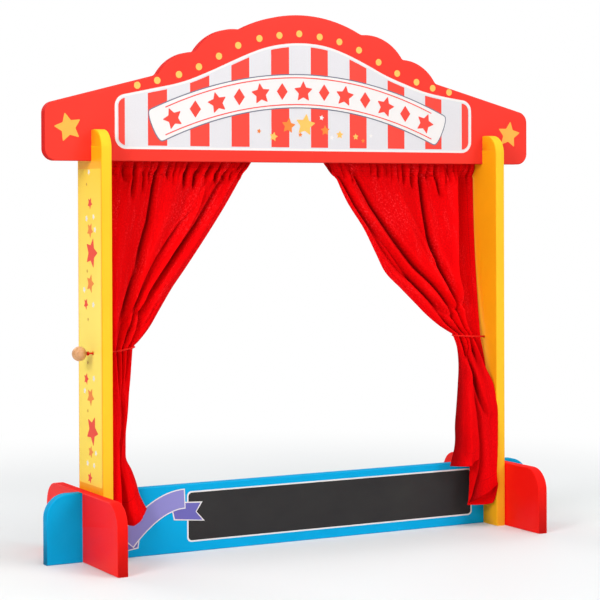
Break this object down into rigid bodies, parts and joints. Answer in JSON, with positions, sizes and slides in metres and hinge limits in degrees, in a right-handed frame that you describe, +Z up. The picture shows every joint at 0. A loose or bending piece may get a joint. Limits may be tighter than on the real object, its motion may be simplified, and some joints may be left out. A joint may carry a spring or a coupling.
{
  "type": "puppet theater stand",
  "caption": "Tabletop puppet theatre stand of slotted painted boards with a crowned header, a low front board and gathered curtains tied back by beaded cords.",
  "frame": {"origin": "middle of the footprint, on the surface that the stand rests on", "axes": "+X along the stage to the right as the audience sees it, +Y away from the audience, +Z up"},
  "size_m": [0.94, 0.312, 0.907],
  "materials": {
    "red_paint": "red satin paint on board",
    "yellow_paint": "yellow satin paint on board",
    "blue_paint": "blue satin paint on board",
    "bare_beech": "sanded beech under clear varnish",
    "red_velvet": "short-pile polyester velvet",
    "red_elastic": "braided elastic cord"
  },
  "bodies": {
    "stand": {"header_board": "red_paint", "front_board": "blue_paint", "curtain_rod": "bare_beech", "left_post": "yellow_paint", "right_post": "yellow_paint", "left_foot": "red_paint", "right_foot": "red_paint", "left_tie_cord": "red_elastic", "right_tie_cord": "red_elastic"},
    "left_drape": {"left_curtain": "red_velvet"},
    "right_drape": {"right_curtain": "red_velvet"},
    "left_pull": {"left_tie_bead": "bare_beech", "left_cord_knot": "red_elastic"},
    "right_pull": {"right_tie_bead": "bare_beech", "right_cord_knot": "red_elastic"}
  },
  "joints": [
    {"name": "left_curtain_draw", "type": "slide", "parent": "stand", "child": "left_drape", "axis": [1, 0, 0], "range_m": [-0.12, 0.08], "deforming": ["left_curtain"]},
    {"name": "right_curtain_draw", "type": "slide", "parent": "stand", "child": "right_drape", "axis": [-1, 0, 0], "range_m": [-0.14, 0.055], "deforming": ["right_curtain"]},
    {"name": "left_tie_pull", "type": "slide", "parent": "stand", "child": "left_pull", "axis": [-1, 0, 0], "range_m": [-0.006, 0.025], "stiffness_N_per_m": 60, "deforming": ["left_tie_cord"]},
    {"name": "right_tie_pull", "type": "slide", "parent": "stand", "child": "right_pull", "axis": [1, 0, 0], "range_m": [0, 0.025], "stiffness_N_per_m": 60, "deforming": ["right_tie_cord"]}
  ]
}
